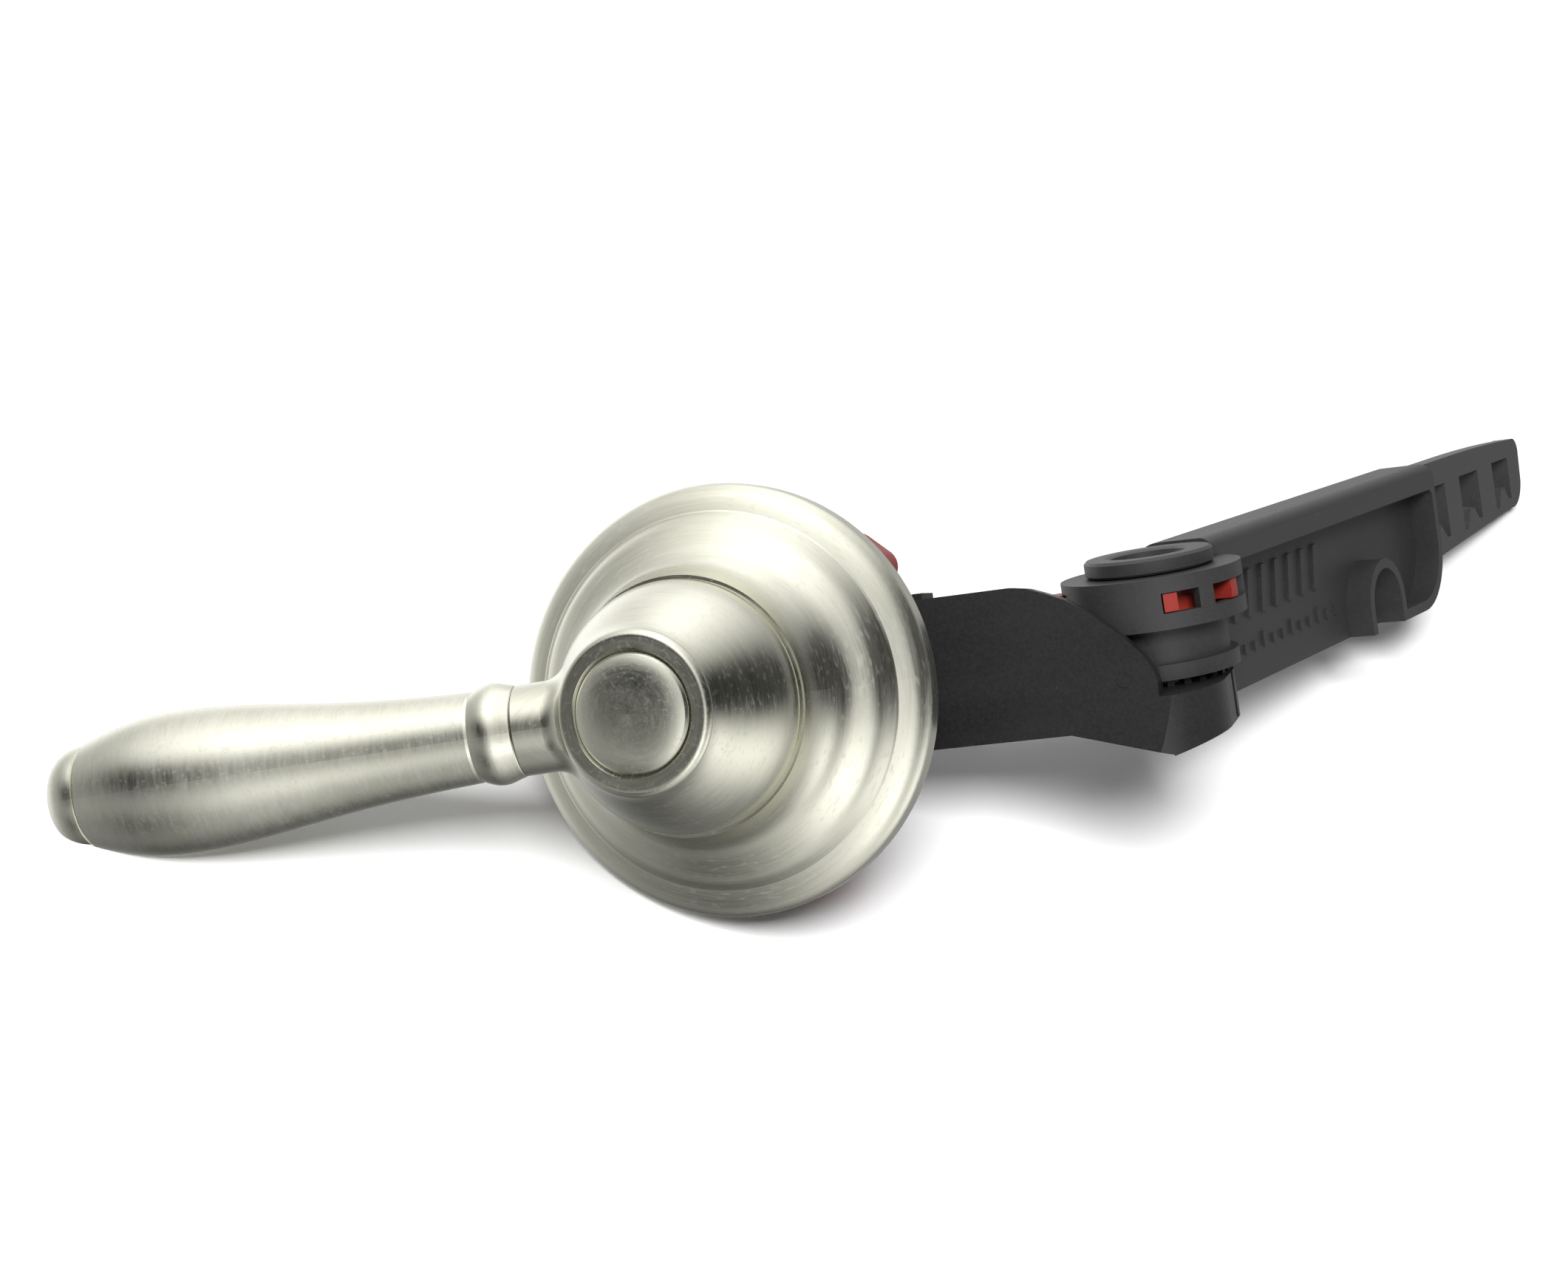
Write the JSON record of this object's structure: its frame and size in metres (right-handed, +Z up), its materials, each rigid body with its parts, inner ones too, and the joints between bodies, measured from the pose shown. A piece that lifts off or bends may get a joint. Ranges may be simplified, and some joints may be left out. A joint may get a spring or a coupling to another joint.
{
  "type": "tank flush lever",
  "caption": "Toilet tank flush lever: round bell escutcheon, tapered side grip, threaded shank with winged nut, and a swivelling arm with a lock ring and slotted sliding blade.",
  "frame": {"origin": "on the shaft axis, in the plane of the tank wall's outer face (the gasket's back)", "axes": "+Z up as installed, -Y towards the room, +Y into the tank, the grip towards -X and the inner arm towards +X"},
  "size_m": [0.175, 0.2356, 0.0599],
  "materials": {
    "satin_nickel": "brushed satin nickel plate",
    "black_plastic": "moulded, fine spark texture",
    "grey_plastic": "moulded, satin",
    "red_plastic": "moulded, satin",
    "steel": "zinc plated",
    "gasket_rubber": "soft sheet",
    "nylon": "natural nylon"
  },
  "bodies": {
    "mount": {"threaded_shank": "black_plastic", "escutcheon": "satin_nickel", "escutcheon_gasket": "gasket_rubber"},
    "washer": {"nut_washer": "nylon"},
    "nut": {"mounting_nut": "red_plastic"},
    "lever": {"shaft": "steel", "thrust_washer": "nylon", "handle_hub": "satin_nickel", "hub_cap": "satin_nickel", "hub_screw_washer": "steel", "hub_screw": "steel", "handle_grip": "satin_nickel", "grip_stud": "steel", "grip_tip": "satin_nickel", "inner_arm": "black_plastic", "arm_screw_washer": "steel", "arm_screw": "steel", "swivel_pin": "black_plastic", "swivel_cap": "black_plastic", "swivel_washer": "nylon"},
    "outer_arm": {"arm_sleeve": "black_plastic"},
    "lock": {"lock_ring": "red_plastic"},
    "blade": {"extension_arm": "grey_plastic"}
  },
  "joints": [
    {"name": "nut_travel", "type": "slide", "parent": "mount", "child": "washer", "axis": [0, 1, 0], "range_m": [-0.0056, 0.0024]},
    {"name": "nut_turn", "type": "hinge", "parent": "washer", "child": "nut", "pos_m": [0, 0.015, 0], "axis": [0, -1, 0], "range_deg": [-806.4, 345.6]},
    {"name": "handle_turn", "type": "hinge", "parent": "mount", "child": "lever", "pos_m": [0, 0, 0], "axis": [0, -1, 0], "range_deg": [0, 35]},
    {"name": "arm_swivel", "type": "hinge", "parent": "lever", "child": "outer_arm", "pos_m": [0.05, 0.0378, 0.0006], "axis": [0, -0.1305, 0.9914], "range_deg": [-73, 15]},
    {"name": "lock_turn", "type": "hinge", "parent": "outer_arm", "child": "lock", "pos_m": [0.05, 0.0378, 0.0006], "axis": [0, -0.1305, 0.9914], "range_deg": [0, 8]},
    {"name": "blade_slide", "type": "slide", "parent": "outer_arm", "child": "blade", "axis": [0.2924, 0.9481, 0.1248], "range_m": [-0.036, 0.012]}
  ],
  "couplings": [
    {"joint": "nut_travel", "follows": "nut_turn", "m_per_rad": 0.00039789}
  ]
}
